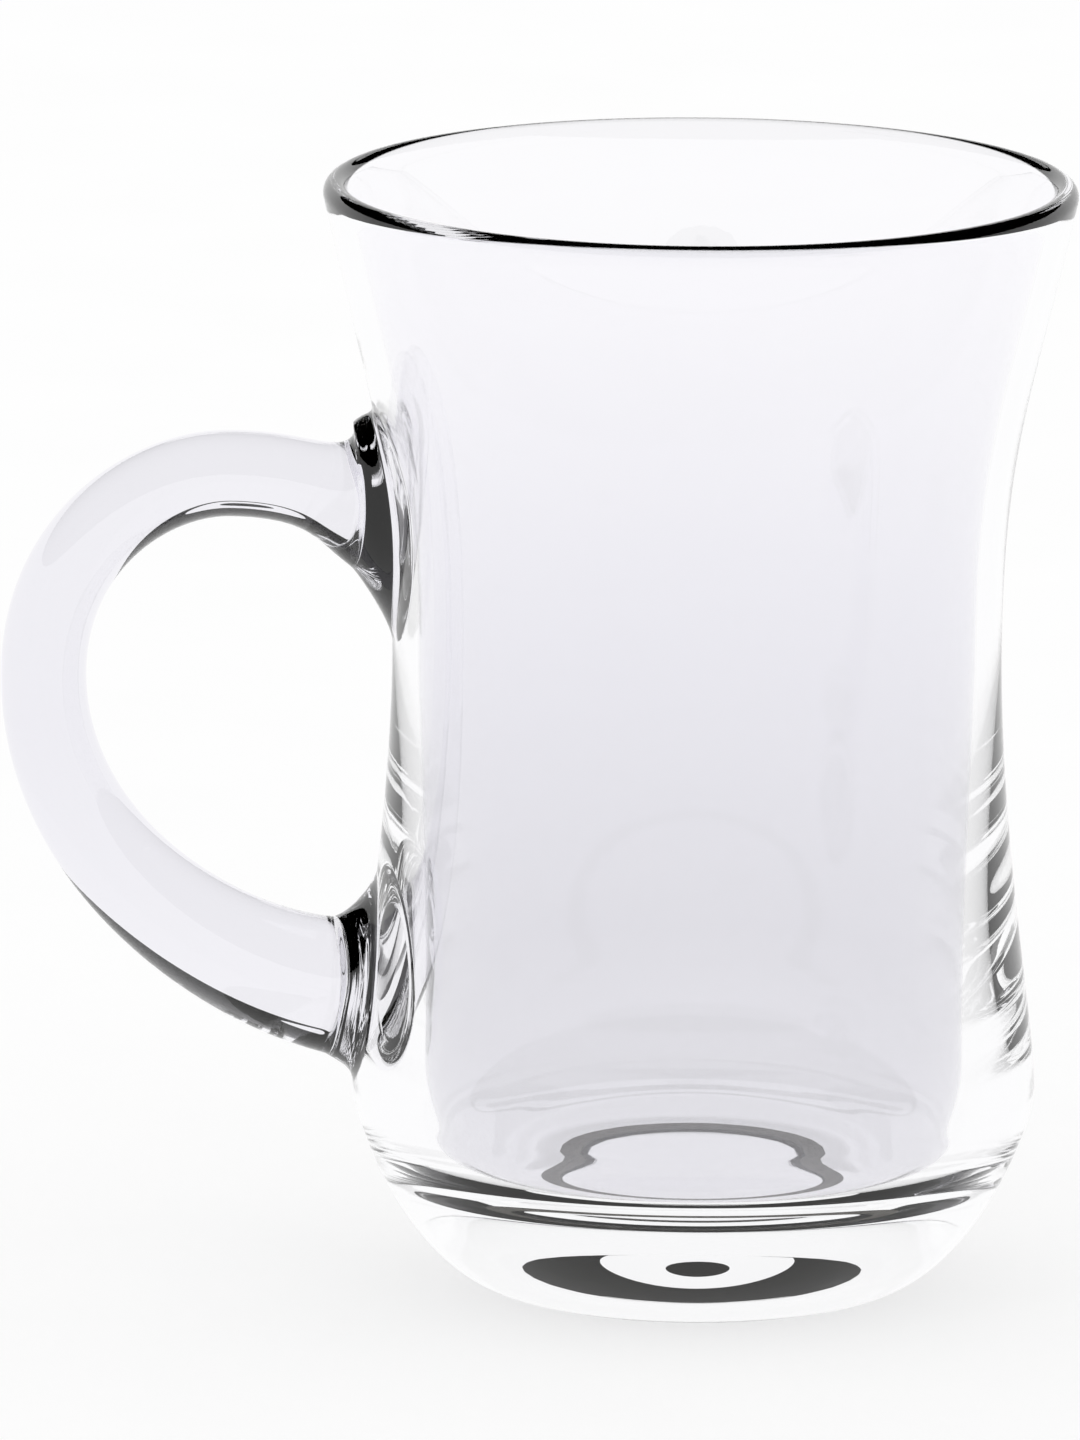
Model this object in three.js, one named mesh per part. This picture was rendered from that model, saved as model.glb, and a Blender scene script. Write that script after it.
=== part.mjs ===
// Waisted tea mug of clear pressed glass: a vessel with a heavy base, and an ear-shaped handle that is
// formed apart and welded to the wall by two flared feet. Millimetres, +Z up, the mug stands on z = 0.
import * as THREE from 'three';

// Vessel, outside
const HEIGHT = 98.25;
const RIM_RADIUS = 33;
const RIM_FLARE_ANGLE = 12;
const RIM_BEND = 16.5;
const WAIST_RADIUS = 26.7;
const WAIST_HEIGHT = 57;
const WAIST_BEND_UP = 18.5;
const WAIST_BEND_DOWN = 17;
const BULGE_RADIUS = 30;
const BULGE_HEIGHT = 18;
const BULGE_BEND_UP = 5;
const HEEL_BEND = 4.7;
const FOOT_BEND = 7.1;
const FOOT_RADIUS = 16.5;

// Vessel, inside and underneath
const LIP_THICKNESS = 2.2;
const WAIST_WALL = 2.3;
const BULGE_WALL = 5.8;
const BOWL_HEIGHT = 22;
const BOWL_BEND_UP = 14;
const BOWL_BEND_DOWN = 12;
const FLOOR_BEND = 21.5;
const BASE_THICKNESS = 10.5;
const RECESS_RADIUS = 12.4;
const RECESS_DEPTH = 0.6;
const RECESS_STEP = 0.6;

// Handle, in the plane of the mug's axis
const HANDLE_REACH = 61;
const HANDLE_CROWN_REACH = 41;
const HANDLE_CROWN_RISE = 2.2;
const HANDLE_SIDE_DROP = 18;
const CROWN_BEND_IN = 5.9;
const CROWN_BEND_OUT = 7.2;
const SIDE_BEND_UP = 11.6;
const SIDE_BEND_DOWN = 15.4;
const HANDLE_THICKNESS = 7.5;
const HANDLE_WIDTH = 9.4;

// Welded feet of the handle: the upper one hangs from the rim, and the lower one stands over the bulge
const UPPER_FOOT_DROP = 28.45;
const LOWER_FOOT_RISE = 7.7;
const UPPER_FOOT = {
  height: HEIGHT - UPPER_FOOT_DROP, // where the handle's axis meets the wall
  axisTilt: 6, // degrees by which the axis rises away from the wall
  creaseTilt: -1, // the same for the normal of the crease
  bend: 2.4, // pull on the axis where it leaves the crease
  thickness: 13, // handle at its crease, in its plane
  width: 10.4, // and across it
  swell: 4.6, // power by which the handle swells to that size
  collar: 2.9, // from the crease to the wall
  spread: 1, // slope at which the collar leaves the handle
  flareInside: 6.1, // weld past the crease, on the finger side
  flareOutside: 2.2, // on the outer side
  flareAcross: 2.6, // and to each side
};
const LOWER_FOOT = {
  height: BULGE_HEIGHT + LOWER_FOOT_RISE,
  axisTilt: 11,
  creaseTilt: 2,
  bend: 11,
  thickness: 12.1,
  width: 11.2,
  swell: 1.6,
  collar: 2.9,
  spread: 0.4,
  flareInside: 5,
  flareOutside: 2,
  flareAcross: 2.6,
};

// How much nearer to the wall a crease lies at the handle's two sides than at its top and bottom
const CREASE_SADDLE = 1;

// Gap between the seat of each foot and the wall
const SEAT_CLEARANCE = 0.3;

// Fineness of the facets
const TURN_STEPS = 56;
const PROFILE_STEPS = 9;
const LIP_STEPS = 5;
const HANDLE_SIDES = 28;
const HANDLE_STEPS = 9;
const COLLAR_STEPS = 5;
const SEAT_RINGS = 3;

const point = (x, y) => new THREE.Vector2(x, y);

// Unit vector at an angle in degrees from +X.
function heading(degrees) {
  const angle = THREE.MathUtils.degToRad(degrees);
  return point(Math.cos(angle), Math.sin(angle));
}

// Points of a cubic between two ends, each with the vector to its control point; the first end is left out.
function bend(start, startPull, end, endPull) {
  const leave = start.clone().add(startPull);
  const arrive = end.clone().add(endPull);
  const curve = new THREE.CubicBezierCurve(start, leave, arrive, end);
  return curve.getPoints(PROFILE_STEPS).slice(1);
}

// Outside of the vessel, (radius, height) from the edge of the bearing ring to where the rounded lip begins.
const lipRadius = LIP_THICKNESS / 2;
const lipCentre = point(RIM_RADIUS - lipRadius, HEIGHT - lipRadius);
const rimOutward = heading(-RIM_FLARE_ANGLE);
const rimUpward = heading(90 - RIM_FLARE_ANGLE);
const foot = point(FOOT_RADIUS, 0);
const bulge = point(BULGE_RADIUS, BULGE_HEIGHT);
const waist = point(WAIST_RADIUS, WAIST_HEIGHT);
const rimOutside = lipCentre.clone().addScaledVector(rimOutward, lipRadius);
const outside = [
  foot,
  ...bend(foot, point(FOOT_BEND, 0), bulge, point(0, -HEEL_BEND)),
  ...bend(bulge, point(0, BULGE_BEND_UP), waist, point(0, -WAIST_BEND_DOWN)),
  ...bend(waist, point(0, WAIST_BEND_UP), rimOutside, rimUpward.clone().multiplyScalar(-RIM_BEND)),
];

// Radius of the outside wall at a height.
function wallRadius(height) {
  const below = outside.filter((p) => p.y < height).length;
  const above = THREE.MathUtils.clamp(below, 1, outside.length - 1);
  const upper = outside[above];
  const lower = outside[above - 1];
  return THREE.MathUtils.mapLinear(height, lower.y, upper.y, lower.x, upper.x);
}

// The vessel is one turned outline: recess under the base, bearing ring, outside, lip, inside, floor.
function vesselGeometry() {
  const recessEdge = point(RECESS_RADIUS, 0);
  const recessCrown = point(0, RECESS_DEPTH);
  const recess = bend(recessCrown, point(RECESS_RADIUS - RECESS_STEP, 0), recessEdge, point(0, RECESS_STEP));

  const rimInside = lipCentre.clone().addScaledVector(rimOutward, -lipRadius);
  const lip = [];
  for (let step = 1; step < LIP_STEPS; step += 1) {
    const round = heading(-RIM_FLARE_ANGLE + (180 * step) / LIP_STEPS);
    lip.push(lipCentre.clone().addScaledVector(round, lipRadius));
  }

  const throat = point(WAIST_RADIUS - WAIST_WALL, WAIST_HEIGHT);
  const bowl = point(BULGE_RADIUS - BULGE_WALL, BOWL_HEIGHT);
  const floor = point(0, BASE_THICKNESS);
  const inside = [
    rimInside,
    ...bend(rimInside, rimUpward.clone().multiplyScalar(-RIM_BEND), throat, point(0, WAIST_BEND_UP)),
    ...bend(throat, point(0, -WAIST_BEND_DOWN), bowl, point(0, BOWL_BEND_UP)),
    ...bend(bowl, point(0, -BOWL_BEND_DOWN), floor, point(FLOOR_BEND, 0)),
  ];

  const outline = [recessCrown, ...recess, ...outside, ...lip, ...inside];
  const geometry = new THREE.LatheGeometry(outline, TURN_STEPS);
  geometry.rotateX(Math.PI / 2);
  return geometry;
}

// The handle's axis leaves each collar along the foot's tilt, rises over the crown and turns down at the
// side. Plane points are (x, z) with the mug's axis at x = 0 and the handle towards -X.
function footAxis(foot) {
  const outward = heading(180 - foot.axisTilt);
  const wall = point(-wallRadius(foot.height), foot.height);
  return { outward, crease: wall.clone().addScaledVector(outward, foot.collar) };
}

// Stations along the axis: place, direction square to the section, thickness in the plane, width across it,
// and how far the sides of the section lead its middle.
function handleStations() {
  const upper = footAxis(UPPER_FOOT);
  const lower = footAxis(LOWER_FOOT);
  const crown = point(-HANDLE_CROWN_REACH, UPPER_FOOT.height + HANDLE_CROWN_RISE);
  const side = point(HANDLE_THICKNESS / 2 - HANDLE_REACH, crown.y - HANDLE_SIDE_DROP);
  const plain = { thickness: HANDLE_THICKNESS, width: HANDLE_WIDTH, skew: 0, saddle: 0 };
  const atCrease = (foot, saddle) => ({ ...foot, skew: foot.axisTilt - foot.creaseTilt, saddle });
  const steady = () => 1;
  const fall = (t) => 1 - (1 - t) ** UPPER_FOOT.swell;
  const rise = (t) => t ** LOWER_FOOT.swell;
  const spans = [
    {
      from: upper.crease,
      pull: upper.outward.clone().multiplyScalar(UPPER_FOOT.bend),
      to: crown,
      push: point(CROWN_BEND_IN, 0),
      first: atCrease(UPPER_FOOT, -CREASE_SADDLE),
      last: plain,
      ease: fall,
    },
    {
      from: crown,
      pull: point(-CROWN_BEND_OUT, 0),
      to: side,
      push: point(0, SIDE_BEND_UP),
      first: plain,
      last: plain,
      ease: steady,
    },
    {
      from: side,
      pull: point(0, -SIDE_BEND_DOWN),
      to: lower.crease,
      push: lower.outward.clone().multiplyScalar(LOWER_FOOT.bend),
      first: plain,
      last: atCrease(LOWER_FOOT, CREASE_SADDLE),
      ease: rise,
    },
  ];
  const stations = [];
  spans.forEach((span, index) => {
    const { from, pull, to, push, first, last, ease } = span;
    const curve = new THREE.CubicBezierCurve(from, from.clone().add(pull), to.clone().add(push), to);
    for (let step = index === 0 ? 0 : 1; step <= HANDLE_STEPS; step += 1) {
      const t = step / HANDLE_STEPS;
      const between = (size) => THREE.MathUtils.lerp(first[size], last[size], ease(t));
      const skew = THREE.MathUtils.degToRad(between('skew'));
      stations.push({
        place: curve.getPoint(t),
        along: curve.getTangent(t).rotateAround(point(0, 0), skew),
        thickness: between('thickness'),
        width: between('width'),
        saddle: between('saddle'),
      });
    }
  });
  return stations;
}

// Oval ring of the handle at a station, starting on the outer side of the ear.
function ovalRing({ place, along, thickness, width, saddle }) {
  const ring = [];
  for (let side = 0; side < HANDLE_SIDES; side += 1) {
    const turn = (2 * Math.PI * side) / HANDLE_SIDES;
    const out = (thickness / 2) * Math.cos(turn);
    const lead = saddle * Math.sin(turn) ** 2;
    const x = place.x + along.y * out + along.x * lead;
    const z = place.y - along.x * out + along.y * lead;
    ring.push(new THREE.Vector3(x, (width / 2) * Math.sin(turn), z));
  }
  return ring;
}

// Point of a seat, just clear of the wall, at a height and a distance round the wall from the ear's plane.
function seatPoint(height, around) {
  const radius = wallRadius(height) + SEAT_CLEARANCE;
  const angle = around / radius;
  return new THREE.Vector3(-radius * Math.cos(angle), radius * Math.sin(angle), height);
}

// Outline of a weld on the wall, scaled about its middle; up is +1 where the ear's outer side is on top.
function seatRing(foot, up, scale) {
  const half = foot.thickness / 2;
  const ring = [];
  for (let side = 0; side < HANDLE_SIDES; side += 1) {
    const turn = (2 * Math.PI * side) / HANDLE_SIDES;
    const outer = Math.cos(turn) > 0;
    const rise = (half + (outer ? foot.flareOutside : foot.flareInside)) * Math.cos(turn);
    const around = (foot.width / 2 + foot.flareAcross) * Math.sin(turn);
    ring.push(seatPoint(foot.height + up * rise * scale, around * scale));
  }
  return ring;
}

// Collar from the handle's end ring to its weld: each line leaves with a crease and lands along the wall.
function collarRings(foot, up, endRing, inward) {
  const weld = seatRing(foot, up, 1);
  const insideWeld = seatRing(foot, up, 1 - 1 / SEAT_RINGS);
  const middle = new THREE.Vector3();
  endRing.forEach((p) => middle.addScaledVector(p, 1 / endRing.length));
  const lines = endRing.map((start, side) => {
    const spread = start.clone().sub(middle).normalize().multiplyScalar(foot.spread);
    const leave = inward.clone().add(spread).setLength(foot.collar / 2);
    const land = insideWeld[side].clone().sub(weld[side]).setLength(foot.collar / 2);
    return new THREE.CubicBezierCurve3(
      start, start.clone().add(leave), weld[side].clone().add(land), weld[side]);
  });
  const rings = [];
  for (let step = 1; step <= COLLAR_STEPS; step += 1) {
    rings.push(lines.map((line) => line.getPoint(step / COLLAR_STEPS)));
  }
  for (let ring = SEAT_RINGS - 1; ring > 0; ring -= 1) {
    rings.push(seatRing(foot, up, ring / SEAT_RINGS));
  }
  return rings;
}

// Closed skin over a row of rings, with one point at each end.
function loftGeometry(first, rings, last) {
  const sides = rings[0].length;
  const vertices = [first, ...rings.flat(), last];
  const end = vertices.length - 1;
  const index = [];
  for (let side = 0; side < sides; side += 1) {
    const next = (side + 1) % sides;
    index.push(0, 1 + next, 1 + side);
    for (let ring = 0; ring + 1 < rings.length; ring += 1) {
      const near = 1 + ring * sides;
      const far = near + sides;
      index.push(near + side, near + next, far + side);
      index.push(near + next, far + next, far + side);
    }
    index.push(end, end - sides + side, end - sides + next);
  }
  const geometry = new THREE.BufferGeometry().setFromPoints(vertices);
  geometry.setIndex(index);
  geometry.computeVertexNormals();
  return geometry;
}

// The handle is one loft from weld to weld: seat, collar, ear, collar, seat.
function handleGeometry() {
  const stations = handleStations();
  const rings = stations.map(ovalRing);
  const toPlane = ({ along }, sign) => new THREE.Vector3(sign * along.x, 0, sign * along.y);
  const upperCollar = collarRings(UPPER_FOOT, 1, rings[0], toPlane(stations[0], -1));
  const lowerCollar = collarRings(LOWER_FOOT, -1, rings.at(-1), toPlane(stations.at(-1), 1));
  const all = [...upperCollar.reverse(), ...rings, ...lowerCollar];
  return loftGeometry(seatPoint(UPPER_FOOT.height, 0), all, seatPoint(LOWER_FOOT.height, 0));
}

const glass = { color: 0xeceaf2, roughness: 0.03, metalness: 0 };

const body = new THREE.Mesh(vesselGeometry(), new THREE.MeshStandardMaterial(glass));
body.name = 'mug_body';

const handle = new THREE.Mesh(handleGeometry(), new THREE.MeshStandardMaterial(glass));
handle.name = 'handle';

// The origin is under the middle of the whole mug, so the vessel stands off centre, away from the handle.
const mug = new THREE.Group();
mug.add(body, handle);
mug.position.x = (HANDLE_REACH - RIM_RADIUS) / 2;

export default mug;
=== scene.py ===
import math

import bpy
import numpy as np
from mathutils import Matrix, Vector


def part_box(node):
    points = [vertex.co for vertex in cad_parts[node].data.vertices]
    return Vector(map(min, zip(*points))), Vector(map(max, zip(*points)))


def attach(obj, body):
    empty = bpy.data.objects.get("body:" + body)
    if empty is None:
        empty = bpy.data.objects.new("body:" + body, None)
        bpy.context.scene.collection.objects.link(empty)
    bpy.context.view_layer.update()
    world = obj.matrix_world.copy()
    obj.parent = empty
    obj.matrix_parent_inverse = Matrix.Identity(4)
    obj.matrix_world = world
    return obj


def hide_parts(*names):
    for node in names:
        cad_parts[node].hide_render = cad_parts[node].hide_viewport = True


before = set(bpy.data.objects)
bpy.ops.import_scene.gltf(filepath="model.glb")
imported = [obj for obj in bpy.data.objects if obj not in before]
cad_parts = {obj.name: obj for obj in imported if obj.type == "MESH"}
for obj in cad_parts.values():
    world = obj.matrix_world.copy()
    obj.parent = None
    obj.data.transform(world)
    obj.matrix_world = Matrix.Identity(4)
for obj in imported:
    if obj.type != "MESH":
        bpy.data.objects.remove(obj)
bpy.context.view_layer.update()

# Vessel
# A waisted tea mug of clear soda-lime glass with a flared rim, a fire-polished lip and a heavy rounded base.
# It is blown in a turning mould, so it is round all over, and stands on a flat ring round a shallow recess.
MM = 0.001
vessel_low, vessel_high = (np.array(corner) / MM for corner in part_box("mug_body"))
vessel_axis = np.array([(vessel_low[0] + vessel_high[0]) / 2, 0, 0])
height = vessel_high[2]
rim_radius = (vessel_high[1] - vessel_low[1]) / 2
rim_flare = math.radians(12)
rim_bend = 16.5
lip_radius = 1.1
waist = np.array([26.7, 57])
waist_bend_up = 18.5
waist_bend_down = 17
waist_wall = 2.3
bulge = np.array([30, 18])
bulge_bend_up = 5
heel_bend = 4.7
foot = np.array([16.5, 0])
foot_bend = 7.1
bowl = np.array([24.2, 22])
bowl_bend_up = 14
bowl_bend_down = 12
floor_middle = np.array([0, 10.5])
floor_bend = 21.5
recess_edge = np.array([12.4, 0])
recess_middle = np.array([0, 0.3])
recess_step = 0.3
recess_rows = 26
stipple_edge = np.array([14.4, 0])
stipple_rows = 4

# Patches where the handle is fused to the wall: height of the middle, reach above and below it, and half the angle
# that they take of the turn. A patch has as many cells across as up.
upper_weld = {"middle": height - 28.45, "above": 8.7, "below": 12.6}
lower_weld = {"middle": bulge[1] + 7.7, "above": 11.05, "below": 8.05}
weld_half_angle = math.radians(16.25)
weld_cells = 24
weld_influence = 1.5
turn_cells = 216


def cubic(start, start_pull, end, end_pull, steps):
    """Points of a cubic at even steps of t: (1-t)^3 A + 3(1-t)^2 t B + 3(1-t) t^2 C + t^3 D, from A to D, where B and
    C are the two ends plus their pulls."""
    start, start_pull, end, end_pull = (np.asarray(v, float) for v in (start, start_pull, end, end_pull))
    t = np.linspace(0, 1, steps + 1).reshape(-1, *[1] * start.ndim)
    leave = start + start_pull
    arrive = end + end_pull
    return (1 - t) ** 3 * start + 3 * (1 - t) ** 2 * t * leave + 3 * (1 - t) * t ** 2 * arrive + t ** 3 * end


lip_middle = np.array([rim_radius - lip_radius, height - lip_radius])
rim_outward = np.array([math.cos(rim_flare), -math.sin(rim_flare)])
rim_upward = np.array([math.sin(rim_flare), math.cos(rim_flare)])
rim_outside = lip_middle + lip_radius * rim_outward
rim_inside = lip_middle - lip_radius * rim_outward
throat = waist - [waist_wall, 0]
fine_steps = 2000
outside = np.concatenate([
    cubic(foot, (foot_bend, 0), bulge, (0, -heel_bend), fine_steps),
    cubic(bulge, (0, bulge_bend_up), waist, (0, -waist_bend_down), fine_steps),
    cubic(waist, (0, waist_bend_up), rim_outside, -rim_bend * rim_upward, fine_steps),
])


def wall_radius(level):
    """Radius of the outside wall at a height, read off its outline."""
    return np.interp(level, outside[:, 1], outside[:, 0])


def fuse_line(turn, level, weld):
    """Moves grid points of the wall so that a square block of cells becomes the oval patch of a weld: (u, v) in the
    block goes to (u sqrt(1 - v^2/2), v sqrt(1 - u^2/2)), and the move fades out round the block."""
    u = turn / weld_half_angle
    v = (level - weld["middle"]) / np.where(level > weld["middle"], weld["above"], weld["below"])
    reach = np.maximum(np.maximum(abs(u), abs(v)), 1)
    fade = np.clip((reach - 1) / (weld_influence - 1), 0, 1)
    fade = fade * fade * (3 - 2 * fade)
    block_u = u / reach
    block_v = v / reach
    oval_u = block_u * np.sqrt(1 - block_v ** 2 / 2)
    oval_v = block_v * np.sqrt(1 - block_u ** 2 / 2)
    u = reach * ((1 - fade) * oval_u + fade * block_u)
    v = reach * ((1 - fade) * oval_v + fade * block_v)
    return u * weld_half_angle, weld["middle"] + v * np.where(v > 0, weld["above"], weld["below"])


half = weld_cells // 2
levels = [
    (lower_weld["middle"] - lower_weld["below"], half),
    (lower_weld["middle"], half),
    (lower_weld["middle"] + lower_weld["above"], 18),
    (upper_weld["middle"] - upper_weld["below"], half),
    (upper_weld["middle"], half),
    (upper_weld["middle"] + upper_weld["above"], 18),
    (rim_outside[1], 1),
]
wall_levels = np.concatenate([
    np.linspace(start, end, cells, endpoint=False) for (start, cells), (end, _) in zip(levels, levels[1:])
])
heel = cubic(foot, (foot_bend, 0), bulge, (0, -heel_bend), 40)
heel = heel[heel[:, 1] < wall_levels[0] - 0.3]
lip_turns = np.linspace(-rim_flare, math.pi - rim_flare, 15)
base = np.concatenate([
    cubic(recess_middle, (recess_edge[0] - recess_step, 0), recess_edge, (0, recess_step), recess_rows)[1:],
    np.linspace(recess_edge, stipple_edge, stipple_rows + 1)[1:],
    np.linspace(stipple_edge, foot, 4)[1:-1],
])
above_wall = np.concatenate([
    lip_middle + lip_radius * np.column_stack([np.cos(lip_turns), np.sin(lip_turns)]),
    cubic(rim_inside, -rim_bend * rim_upward, throat, (0, waist_bend_up), 34)[1:],
    cubic(throat, (0, -waist_bend_down), bowl, (0, bowl_bend_up), 34)[1:],
    cubic(bowl, (0, -bowl_bend_down), floor_middle, (floor_bend, 0), 40)[1:-1],
])
wall = np.concatenate([heel, np.column_stack([wall_radius(wall_levels), wall_levels])])
rows = np.concatenate([base, wall, above_wall])
turns = np.concatenate([
    np.linspace(-weld_half_angle, weld_half_angle, weld_cells + 1),
    np.linspace(weld_half_angle, 2 * math.pi - weld_half_angle, turn_cells + 1)[1:-1],
])
columns = len(turns)
around = np.where(turns > math.pi, turns - 2 * math.pi, turns)
turn_grid = np.tile(around, (len(rows), 1))
radius_grid = np.tile(rows[:, :1], columns)
level_grid = np.tile(rows[:, 1:], columns)
on_wall = slice(len(base), len(base) + len(wall))
for weld in (lower_weld, upper_weld):
    moved = fuse_line(turn_grid[on_wall], level_grid[on_wall], weld)
    turn_grid[on_wall], level_grid[on_wall] = moved
radius_grid[on_wall] = wall_radius(level_grid[on_wall])
vessel_grid = np.stack([
    -radius_grid * np.cos(turn_grid),
    -radius_grid * np.sin(turn_grid),
    level_grid,
], axis=-1)


def grid_quads(ids, closed):
    """Faces over a grid of vertex numbers: each has the corners (i, j), (i, j+1), (i+1, j+1), (i+1, j)."""
    if closed:
        ids = np.concatenate([ids, ids[:, :1]], axis=1)
    corners = [ids[:-1, :-1], ids[:-1, 1:], ids[1:, 1:], ids[1:, :-1]]
    return np.stack(corners, axis=-1).reshape(-1, 4)


def make_piece(name, points, faces, slots):
    """Mesh object from points in millimetres round the vessel's axis, smooth shaded but for its sharp edges, with a
    material slot's number for each face."""
    mesh = bpy.data.meshes.new(name)
    mesh.from_pydata(((points + vessel_axis) * MM).tolist(), [], faces)
    mesh.polygons.foreach_set("use_smooth", np.ones(len(faces), bool))
    mesh.polygons.foreach_set("material_index", np.asarray(slots, np.int32))
    mesh.set_sharp_from_angle(angle=math.radians(35))
    piece = bpy.data.objects.new(name, mesh)
    bpy.context.scene.collection.objects.link(piece)
    return piece


vessel_ids = np.arange(len(rows) * columns).reshape(len(rows), columns)
under_pole = vessel_ids.size
floor_pole = under_pole + 1
vessel_points = np.concatenate([
    vessel_grid.reshape(-1, 3),
    [[0, 0, recess_middle[1]], [0, 0, floor_middle[1]]],
])
first_ring = vessel_ids[0]
last_ring = vessel_ids[-1]
under_fan = np.column_stack([np.full(columns, under_pole), np.roll(first_ring, -1), first_ring])
floor_fan = np.column_stack([last_ring, np.roll(last_ring, -1), np.full(columns, floor_pole)])
lower_block_row = len(base) + len(heel)
upper_block_row = lower_block_row + weld_cells + levels[2][1]
glass_slots = np.zeros((len(rows) - 1, columns), int)
glass_slots[on_wall.stop + len(lip_turns) // 2:] = 2
glass_slots[recess_rows - 1:recess_rows - 1 + stipple_rows] = 3
for row in (lower_block_row, upper_block_row):
    glass_slots[row:row + weld_cells, :weld_cells] = 1
vessel_faces = grid_quads(vessel_ids, True).tolist() + under_fan.tolist() + floor_fan.tolist()
vessel = make_piece("vessel", vessel_points, vessel_faces, np.concatenate([
    glass_slots.ravel(), np.zeros(columns, int), np.full(columns, 2),
]))


def linear(code):
    """Linear colour of an sRGB hex code."""
    channels = np.array([int(code[i:i + 2], 16) for i in (1, 3, 5)]) / 255
    channels = np.where(channels <= 0.04045, channels / 12.92, ((channels + 0.055) / 1.055) ** 2.4)
    return (*channels.tolist(), 1)


def add_node(tree, kind, settings=(), links=()):
    """Adds a node, sets its properties and its unlinked sockets, and links other nodes' sockets to its own."""
    node = tree.nodes.new(kind)
    for name, value in dict(settings).items():
        if isinstance(name, int) or name in node.inputs:
            node.inputs[name].default_value = value
        else:
            setattr(node, name, value)
    for name, socket in dict(links).items():
        tree.links.new(socket, node.inputs[name])
    return node


# Soda-lime glass, blown and fire-polished: mirror-smooth, with slow waves that the mould leaves and a trace of haze
# from washing. Its tint is given at heights: the glass's own faint cast, and darker in places as painted shade for
# the table's shade seen through the glass.
wave_size = 16
haze_size = 5


def polished_glass(name, tint_and_shade_stops):
    """Glass with a tint, in places darkened as painted shade, that goes over from one height in millimetres to the
    next.
    """
    material = bpy.data.materials.new(name)
    material.use_nodes = True
    tree = material.node_tree
    tree.nodes.clear()
    place = add_node(tree, "ShaderNodeTexCoord")
    waves = add_node(tree, "ShaderNodeTexNoise", {"Scale": 1 / (wave_size * MM), "Detail": 0.0},
                     {"Vector": place.outputs["Object"]})
    ripple = add_node(tree, "ShaderNodeBump", {"Strength": 0.1, "Distance": 0.05 * MM},
                      {"Height": waves.outputs["Fac"]})
    haze = add_node(tree, "ShaderNodeTexNoise", {"Scale": 1 / (haze_size * MM), "Detail": 2.0},
                    {"Vector": place.outputs["Object"]})
    film = add_node(tree, "ShaderNodeMapRange",
                    {"From Min": 0.35, "From Max": 0.75, "To Min": 0.0, "To Max": 0.012},
                    {"Value": haze.outputs["Fac"]})
    split = add_node(tree, "ShaderNodeSeparateXYZ", {}, {"Vector": place.outputs["Object"]})
    level = add_node(tree, "ShaderNodeMapRange", {"From Min": 0.0, "From Max": height * MM},
                     {"Value": split.outputs["Z"]})
    cast = add_node(tree, "ShaderNodeValToRGB", {}, {"Fac": level.outputs["Result"]})
    stops = cast.color_ramp.elements
    while len(stops) < len(tint_and_shade_stops):
        stops.new(1.0)
    for stop, (stop_height, code) in zip(stops, tint_and_shade_stops):
        stop.position = stop_height / height
        stop.color = linear(code)
    shader = add_node(tree, "ShaderNodeBsdfPrincipled", {"IOR": 1.52, "Transmission Weight": 1.0},
                      {"Base Color": cast.outputs["Color"], "Roughness": film.outputs["Result"],
                       "Normal": ripple.outputs["Normal"]})
    add_node(tree, "ShaderNodeOutputMaterial", {}, {"Surface": shader.outputs["BSDF"]})
    return material


outside_glass = polished_glass("blown soda-lime glass", [(0, "#FDFDFE"), (98, "#FEFEFF")])
# Inside, the tint is darker low down, most at 24 mm, and whiter towards the rim: painted shade for the darker table
# close behind the foot, seen through the glass.
inside_glass = polished_glass("blown soda-lime glass with painted shade", [
    (8, "#EDECF1"), (24, "#DDDCE2"), (60, "#EDECF2"), (92, "#FCFBFE"),
])

# Glass fused to glass inside a weld: there is no surface left for light to meet.
fused_glass = bpy.data.materials.new("fused glass in the weld")
fused_glass.use_nodes = True
tree = fused_glass.node_tree
tree.nodes.clear()
through = add_node(tree, "ShaderNodeBsdfTransparent")
add_node(tree, "ShaderNodeOutputMaterial", {}, {"Surface": through.outputs["BSDF"]})

# Band of the ring that the mug stands on: stippled by the mould so that the glass cools evenly, and painted an
# opaque mottled dark tone as painted shade, for the contact shade where the ring sits on the table.
stippled_glass = bpy.data.materials.new("stippled soda-lime glass with painted shade")
stippled_glass.use_nodes = True
tree = stippled_glass.node_tree
tree.nodes.clear()
place = add_node(tree, "ShaderNodeTexCoord")
dots = add_node(tree, "ShaderNodeTexVoronoi", {"Scale": 1 / (0.45 * MM)}, {"Vector": place.outputs["Object"]})
pits = add_node(tree, "ShaderNodeBump", {"Strength": 0.6, "Distance": 0.1 * MM},
                {"Height": dots.outputs["Distance"]})
shade_mottle = add_node(tree, "ShaderNodeTexNoise", {"Scale": 1 / (1.5 * MM), "Detail": 3.0},
                {"Vector": place.outputs["Object"]})
painted_shade = add_node(tree, "ShaderNodeMix", {"data_type": "RGBA", "A": linear("#5F5C55"), "B": linear("#98958D")},
                {"Factor": shade_mottle.outputs["Fac"]})
shader = add_node(tree, "ShaderNodeBsdfPrincipled", {"IOR": 1.52, "Transmission Weight": 0.0, "Roughness": 0.5},
                  {"Base Color": painted_shade.outputs["Result"], "Normal": pits.outputs["Normal"]})
add_node(tree, "ShaderNodeOutputMaterial", {}, {"Surface": shader.outputs["BSDF"]})

vessel.data.materials.append(outside_glass)
vessel.data.materials.append(fused_glass)
vessel.data.materials.append(inside_glass)
vessel.data.materials.append(stippled_glass)
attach(vessel, "root")
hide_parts("mug_body")

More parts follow.
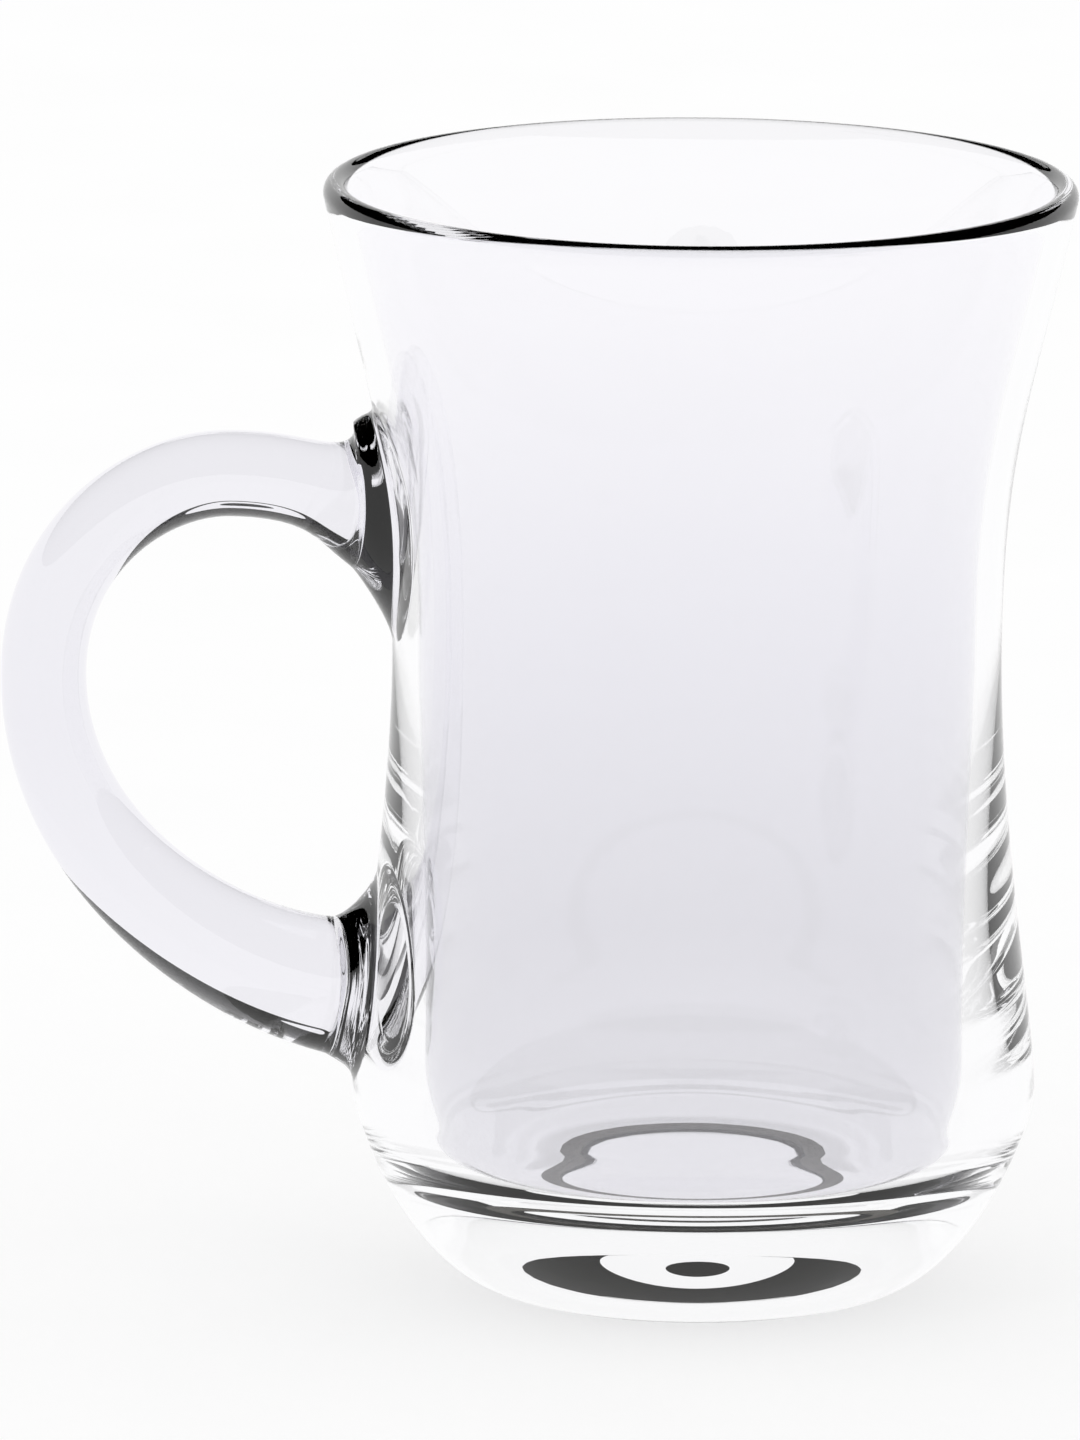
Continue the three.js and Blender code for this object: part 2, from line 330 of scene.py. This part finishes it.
# Handle
# An ear-shaped bar of the same glass, drawn apart and pressed hot against the wall. Each end swells to a crease and
# spreads from there in a flared collar that runs out along the wall, more on the finger side than on the outer side.
handle_low, handle_high = (np.array(corner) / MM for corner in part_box("handle"))
handle_reach = vessel_axis[0] - handle_low[0]
bar_thickness = 7.5
bar_width = 9.4
crown = np.array([-41, upper_weld["middle"] + 2.2])
side = np.array([bar_thickness / 2 - handle_reach, crown[1] - 18])
crown_bend_in = 5.9
crown_bend_out = 7.2
side_bend_up = 11.6
side_bend_down = 15.4
upper_foot = {
    "axis_tilt": 6, "crease_tilt": -1, "bend": 2.4, "thickness": 13, "width": 10.4, "swell": 4.6,
    "collar": 2.9, "spread": 1,
}
lower_foot = {
    "axis_tilt": 11, "crease_tilt": 2, "bend": 11, "thickness": 12.1, "width": 11.2, "swell": 1.6,
    "collar": 2.9, "spread": 0.4,
}
crease_saddle = 1
bar_steps = 44
collar_steps = 16

# The rings of the handle have one point for each point on the outline of a weld's block of cells.
ring_points = 4 * weld_cells
walk = (np.arange(ring_points) + half) % ring_points
block_side = walk // weld_cells
step_on_side = walk % weld_cells
section_turn = block_side * math.pi / 2 + np.arcsin((2 * step_on_side / weld_cells - 1) / math.sqrt(2))
block_column = np.choose(block_side, [weld_cells - step_on_side, 0 * walk, step_on_side, 0 * walk + weld_cells])
block_row = np.choose(block_side, [0 * walk + weld_cells, weld_cells - step_on_side, 0 * walk, step_on_side])


def foot_axis(weld, foot):
    """Direction in which the handle's axis leaves the wall, and the middle of its crease, in the handle's plane."""
    tilt = math.radians(foot["axis_tilt"])
    outward = np.array([-math.cos(tilt), math.sin(tilt)])
    on_the_wall = np.array([-wall_radius(weld["middle"]), weld["middle"]])
    return outward, on_the_wall + foot["collar"] * outward


def bar_rings(path, nearness, foot, saddle):
    """Oval rings along a path in the handle's plane. The section's size, its skew and the lead of its sides go over
    from those of the plain bar to those at the crease of a foot by the nearness to that crease."""
    heading = np.gradient(path, axis=0)
    heading /= np.linalg.norm(heading, axis=1, keepdims=True)
    skew = np.radians(foot["axis_tilt"] - foot["crease_tilt"]) * nearness
    along_x = heading[:, 0] * np.cos(skew) - heading[:, 1] * np.sin(skew)
    along_z = heading[:, 0] * np.sin(skew) + heading[:, 1] * np.cos(skew)
    thickness = bar_thickness + (foot["thickness"] - bar_thickness) * nearness
    width = bar_width + (foot["width"] - bar_width) * nearness
    out = np.outer(thickness / 2, np.cos(section_turn))
    lead = np.outer(saddle * nearness, np.sin(section_turn) ** 2)
    return np.stack([
        path[:, :1] + along_z[:, None] * out + along_x[:, None] * lead,
        np.outer(width / 2, np.sin(section_turn)),
        path[:, 1:] - along_x[:, None] * out + along_z[:, None] * lead,
    ], axis=-1)


def collar_rings(end_ring, inward, outline, inner_outline, foot):
    """Rings of a collar: each line is a cubic that leaves the end ring at the foot's spread and lands on the weld's
    outline along the wall. The end ring itself is left out."""
    spread = end_ring - end_ring.mean(axis=0)
    spread /= np.linalg.norm(spread, axis=1, keepdims=True)
    leave = inward + foot["spread"] * spread
    leave *= foot["collar"] / 2 / np.linalg.norm(leave, axis=1, keepdims=True)
    land = inner_outline - outline
    land *= foot["collar"] / 2 / np.linalg.norm(land, axis=1, keepdims=True)
    return cubic(end_ring, leave, outline, land, collar_steps)[1:]


t = np.linspace(0, 1, bar_steps + 1)
upper_outward, upper_crease = foot_axis(upper_weld, upper_foot)
lower_outward, lower_crease = foot_axis(lower_weld, lower_foot)
upper_path = cubic(upper_crease, upper_foot["bend"] * upper_outward, crown, (crown_bend_in, 0), bar_steps)
outer_path = cubic(crown, (-crown_bend_out, 0), side, (0, side_bend_up), bar_steps)
lower_path = cubic(side, (0, -side_bend_down), lower_crease, lower_foot["bend"] * lower_outward, bar_steps)
bar = np.concatenate([
    bar_rings(upper_path, (1 - t) ** upper_foot["swell"], upper_foot, -crease_saddle),
    bar_rings(outer_path, 0 * t, upper_foot, 0)[1:],
    bar_rings(lower_path, t ** lower_foot["swell"], lower_foot, crease_saddle)[1:],
])
collars = []
patches = []
for first_row, up, sizes, end_ring, outward in (
    (upper_block_row, 1, upper_foot, bar[0], upper_outward),
    (lower_block_row, -1, lower_foot, bar[-1], lower_outward),
):
    patch = vessel_grid[first_row:first_row + weld_cells + 1, :weld_cells + 1][::up]
    outline = patch[block_row, block_column]
    inner_outline = outline + 0.1 * (patch[half, half] - outline)
    inner_radius = wall_radius(inner_outline[:, 2])
    inner_outline[:, :2] *= (inner_radius / np.linalg.norm(inner_outline[:, :2], axis=1))[:, None]
    inward = -np.array([outward[0], 0, outward[1]])
    collars.append(collar_rings(end_ring, inward, outline, inner_outline, sizes))
    patches.append(patch)
rings = np.concatenate([collars[0][::-1], bar, collars[1]])
ring_ids = np.arange(len(rings) * ring_points).reshape(len(rings), ring_points)
handle_points = [rings.reshape(-1, 3)]
handle_faces = grid_quads(ring_ids, True).tolist()
handle_in_weld = [0] * len(handle_faces)
next_id = ring_ids.size
for patch, outline_ids, up in ((patches[0], ring_ids[0], 1), (patches[1], ring_ids[-1], -1)):
    patch_ids = np.empty((weld_cells + 1, weld_cells + 1), int)
    inner = patch[1:-1, 1:-1].reshape(-1, 3)
    patch_ids[1:-1, 1:-1] = (next_id + np.arange(len(inner))).reshape(weld_cells - 1, weld_cells - 1)
    patch_ids[block_row, block_column] = outline_ids
    handle_points.append(inner)
    next_id += len(inner)
    seat = grid_quads(patch_ids, False)[:, ::-up].tolist()
    handle_faces += seat
    handle_in_weld += [1] * len(seat)
handle = make_piece("ear_handle", np.concatenate(handle_points), handle_faces, handle_in_weld)
# The handle's tint is a faint lavender, darker at mid-height: partly the glass's own cast and partly painted shade
# for the table seen through it.
drawn_glass = polished_glass("drawn soda-lime glass with painted shade", [(20, "#F3F2F7"), (50, "#EFEEF4"), (75, "#F2F1F6")])
handle.data.materials.append(drawn_glass)
handle.data.materials.append(fused_glass)
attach(handle, "root")
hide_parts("handle")

# Studio
# A matt white table that runs on behind the mug, a white room, and a dark screen overhead with a ring lamp under it.
# Screen and lamp only show in the glass: they draw its edges and the oval in its heel. The table's top lies a hair
# under the mug's foot, so that glass and paint do not share a plane.
floor_half = 6.0
floor_drop = 0.0002
floor_cells = 8
floor_line = np.linspace(-floor_half, floor_half, floor_cells + 1)
floor_x, floor_y = np.meshgrid(floor_line, floor_line)
floor_points = np.stack([floor_x, floor_y, 0 * floor_x - floor_drop], axis=-1).reshape(-1, 3)
floor_ids = np.arange(floor_points.shape[0]).reshape(floor_cells + 1, floor_cells + 1)
floor_mesh = bpy.data.meshes.new("table")
floor_mesh.from_pydata(floor_points.tolist(), [], grid_quads(floor_ids, False).tolist())
table = bpy.data.objects.new("table", floor_mesh)
bpy.context.scene.collection.objects.link(table)
white_board = bpy.data.materials.new("matt white painted board")
white_board.use_nodes = True
tree = white_board.node_tree
tree.nodes.clear()
place = add_node(tree, "ShaderNodeTexCoord")
grain = add_node(tree, "ShaderNodeTexNoise", {"Scale": 40.0}, {"Vector": place.outputs["Object"]})
paint = add_node(tree, "ShaderNodeMix", {"data_type": "RGBA", "A": linear("#FFFFFF"), "B": linear("#FDFDFD")},
                 {"Factor": grain.outputs["Fac"]})
matt = add_node(tree, "ShaderNodeBsdfDiffuse", {}, {"Color": paint.outputs["Result"]})
shine = add_node(tree, "ShaderNodeEmission", {"Strength": 1.0}, {"Color": paint.outputs["Result"]})
ray = add_node(tree, "ShaderNodeLightPath")
seen = add_node(tree, "ShaderNodeMath", {"operation": "MULTIPLY", 1: 0.7}, {0: ray.outputs["Is Camera Ray"]})
mirrored = add_node(tree, "ShaderNodeMath", {"operation": "MAXIMUM"},
                    {0: ray.outputs["Is Glossy Ray"], 1: ray.outputs["Is Transmission Ray"]})
backdrop = add_node(tree, "ShaderNodeMath", {"operation": "MAXIMUM"},
                    {0: seen.outputs["Value"], 1: mirrored.outputs["Value"]})
board = add_node(tree, "ShaderNodeMixShader", {},
                 {0: backdrop.outputs["Value"], 1: matt.outputs["BSDF"], 2: shine.outputs["Emission"]})
add_node(tree, "ShaderNodeOutputMaterial", {}, {"Surface": board.outputs["Shader"]})
table.data.materials.append(white_board)

screen_height = 0.9
screen_edge = math.radians(19)
screen_radius = screen_height / math.tan(screen_edge)
screen_turns = np.linspace(0, 2 * math.pi, 65)[:-1]
screen_radii = np.linspace(0, screen_radius, 7)[1:]
screen_points = np.stack([
    np.outer(screen_radii, np.cos(screen_turns)),
    np.outer(screen_radii, np.sin(screen_turns)),
    np.full((len(screen_radii), len(screen_turns)), screen_height),
], axis=-1).reshape(-1, 3)
screen_ids = np.arange(len(screen_points)).reshape(len(screen_radii), len(screen_turns))
screen_faces = grid_quads(screen_ids, True).tolist() + [screen_ids[0].tolist()]
screen_mesh = bpy.data.meshes.new("overhead screen")
screen_mesh.from_pydata(screen_points.tolist(), [], screen_faces)
screen = bpy.data.objects.new("overhead_screen", screen_mesh)
bpy.context.scene.collection.objects.link(screen)
screen.visible_camera = False
screen.visible_diffuse = False
screen.visible_shadow = False
dark_felt = bpy.data.materials.new("dark felt")
dark_felt.use_nodes = True
tree = dark_felt.node_tree
tree.nodes.clear()
ray = add_node(tree, "ShaderNodeLightPath")
# The felt is dark to rays that reach it straight from the glass; to rays that have bounced off the table it glows
# white like the room, as painted light, so that it throws no shade on the table through the glass.
shade = add_node(tree, "ShaderNodeMix", {"data_type": "RGBA", "A": linear("#0A0906"), "B": linear("#FFFFFF")},
                 {"Factor": ray.outputs["Diffuse Depth"]})
felt = add_node(tree, "ShaderNodeEmission", {"Strength": 1.0}, {"Color": shade.outputs["Result"]})
add_node(tree, "ShaderNodeOutputMaterial", {}, {"Surface": felt.outputs["Emission"]})
screen.data.materials.append(dark_felt)

lamp_place = np.array([0, 2.04, screen_height - 0.02])
lamp_reach = np.array([0.5, 0.4])
hub_reach = np.array([0.16, 0.17])
lamp_steps = np.linspace(1, 0, 4)
lamp_points = np.stack([
    np.outer(hub_reach[0] + (lamp_reach[0] - hub_reach[0]) * lamp_steps, np.cos(screen_turns)),
    np.outer(hub_reach[1] + (lamp_reach[1] - hub_reach[1]) * lamp_steps, np.sin(screen_turns)),
    np.zeros((len(lamp_steps), len(screen_turns))),
], axis=-1).reshape(-1, 3) + lamp_place
lamp_ids = np.arange(len(lamp_points)).reshape(len(lamp_steps), len(screen_turns))
lamp_mesh = bpy.data.meshes.new("ring lamp")
lamp_mesh.from_pydata(lamp_points.tolist(), [], grid_quads(lamp_ids, True).tolist())
lamp = bpy.data.objects.new("ring_lamp", lamp_mesh)
bpy.context.scene.collection.objects.link(lamp)
lamp.visible_camera = False
lamp.visible_diffuse = False
lamp.visible_shadow = False
opal = bpy.data.materials.new("opal lamp cover")
opal.use_nodes = True
tree = opal.node_tree
tree.nodes.clear()
cover = add_node(tree, "ShaderNodeEmission", {"Color": linear("#FFFFFF"), "Strength": 1.0})
add_node(tree, "ShaderNodeOutputMaterial", {}, {"Surface": cover.outputs["Emission"]})
lamp.data.materials.append(opal)

room = bpy.data.worlds.new("white room")
room.use_nodes = True
tree = room.node_tree
tree.nodes.clear()
glow = add_node(tree, "ShaderNodeBackground", {"Color": linear("#FFFFFF"), "Strength": 1.0})
add_node(tree, "ShaderNodeOutputWorld", {}, {"Surface": glow.outputs["Background"]})
scene = bpy.context.scene
scene.world = room
scene.view_settings.view_transform = "Standard"
scene.cycles.max_bounces = 32
scene.cycles.transmission_bounces = 32
scene.cycles.glossy_bounces = 16
scene.cycles.transparent_max_bounces = 32

# Camera
# A long lens 1.8 m away and a little above the rim, turned a trace to the side as the photograph is.
image_height = 1440
focal_pixels = 20529.9
camera_distance = 1.8
camera_rise = math.radians(11.627)
camera_roll = math.radians(0.408)
aim = Vector((vessel_axis[0] * MM - 0.013713, 0, 0.050133))
lens = bpy.data.cameras.new("long lens")
lens.sensor_width = 36
lens.sensor_fit = "AUTO"
lens.lens = focal_pixels * lens.sensor_width / image_height
lens.clip_end = 50
camera = bpy.data.objects.new("camera", lens)
scene.collection.objects.link(camera)
back = Vector((0, -math.cos(camera_rise), math.sin(camera_rise)))
look = (-back).to_track_quat("-Z", "Y").to_matrix().to_4x4()
camera.matrix_world = Matrix.Translation(aim + camera_distance * back) @ look @ Matrix.Rotation(camera_roll, 4, "Z")
scene.camera = camera
